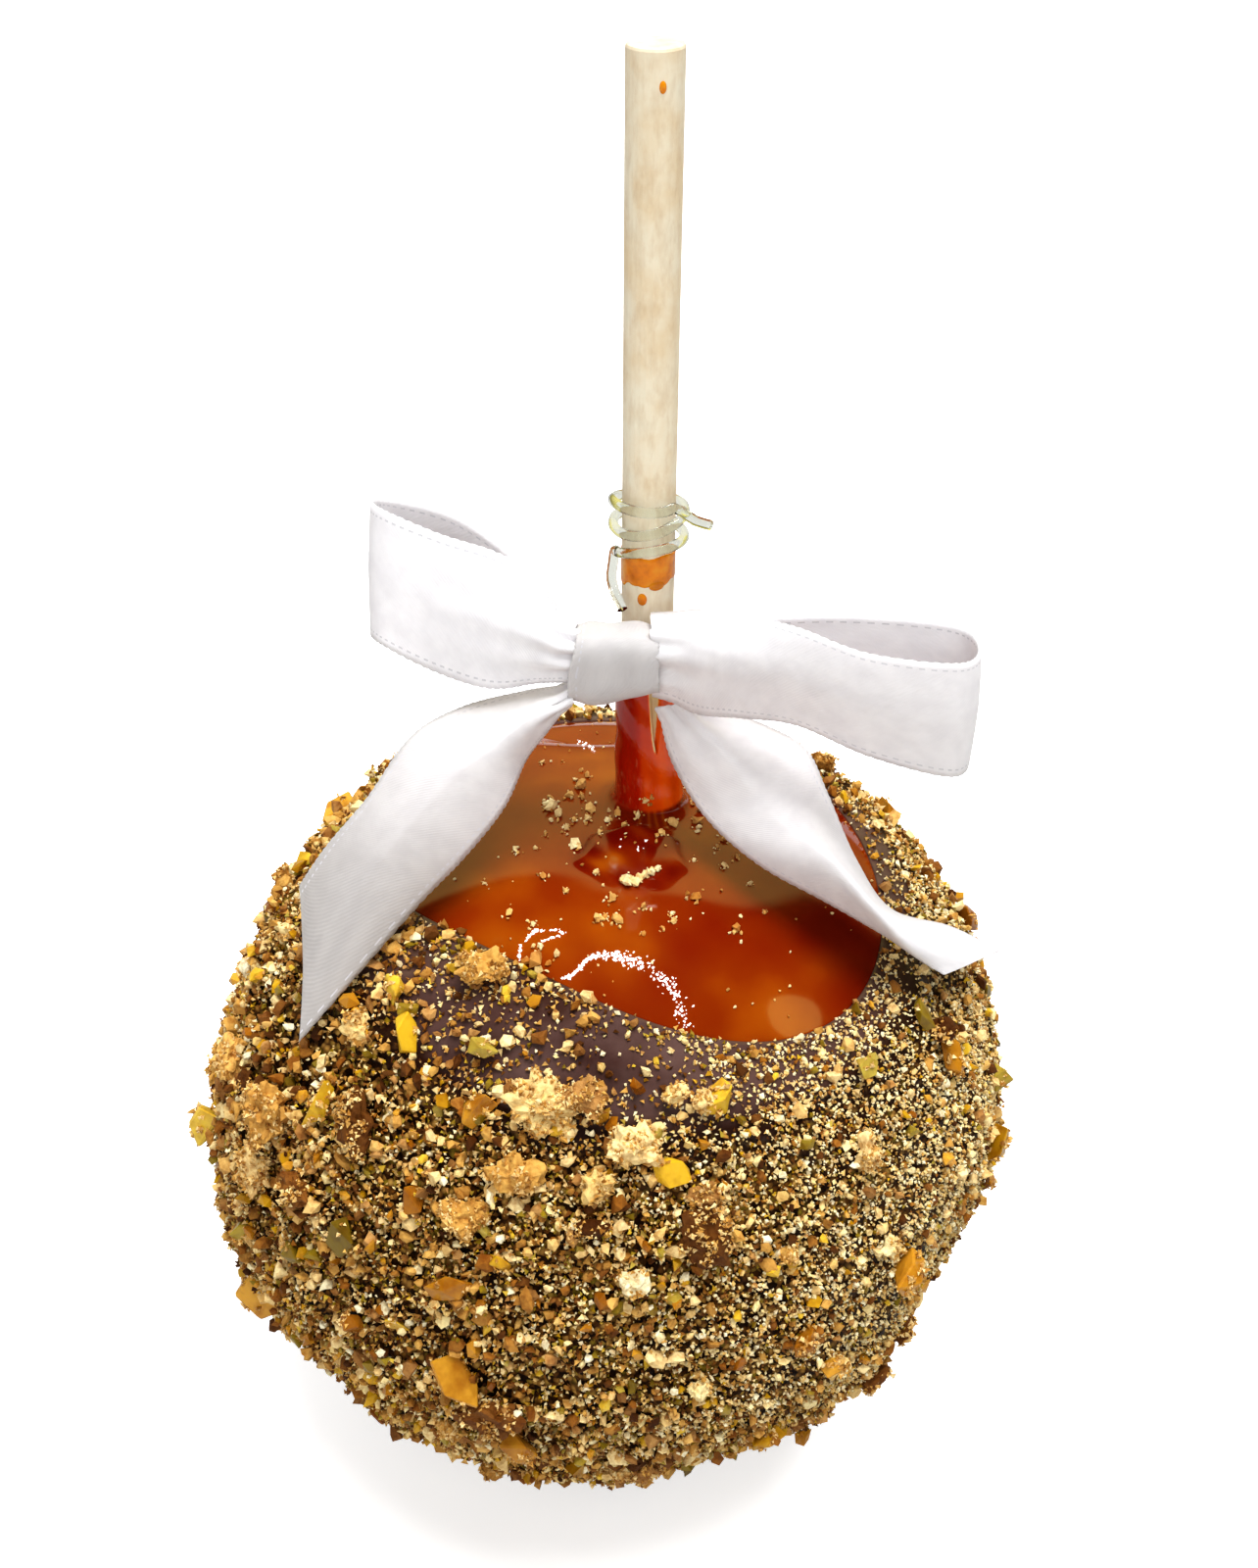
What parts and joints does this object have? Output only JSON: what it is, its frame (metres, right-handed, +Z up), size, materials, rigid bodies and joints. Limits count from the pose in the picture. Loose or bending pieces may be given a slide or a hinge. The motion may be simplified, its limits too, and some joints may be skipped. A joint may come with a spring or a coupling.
{
  "type": "caramel apple",
  "caption": "Apple on a paper stick, covered in glossy caramel, dipped in dark chocolate and rolled in crumbs and chopped brittle, with a white satin bow",
  "frame": {"origin": "on the table, in the flat spot that the apple stands on, under the middle of the apple", "axes": "+Z up along the stick; +X to the right and +Y away from the viewer, who faces the bow"},
  "size_m": [0.1079, 0.1055, 0.185],
  "materials": {
    "caramel": "smooth glossy cooked caramel, slightly translucent",
    "chocolate_crumbs": "dark chocolate covered in biscuit crumbs and chopped brittle",
    "rolled_paper": "matt cream rolled paper with faint mottling",
    "clear_elastic": "clear glossy elastic cord",
    "white_satin": "white single-face satin ribbon with a looped selvage"
  },
  "bodies": {
    "root": {"caramel_apple": "caramel", "nut_chocolate_coat": "chocolate_crumbs", "paper_stick": "rolled_paper", "elastic_tie": "clear_elastic", "bow_knot": "white_satin", "bow_loop_left": "white_satin", "bow_loop_right": "white_satin", "bow_tail_left": "white_satin", "bow_tail_right": "white_satin"}
  },
  "joints": []
}
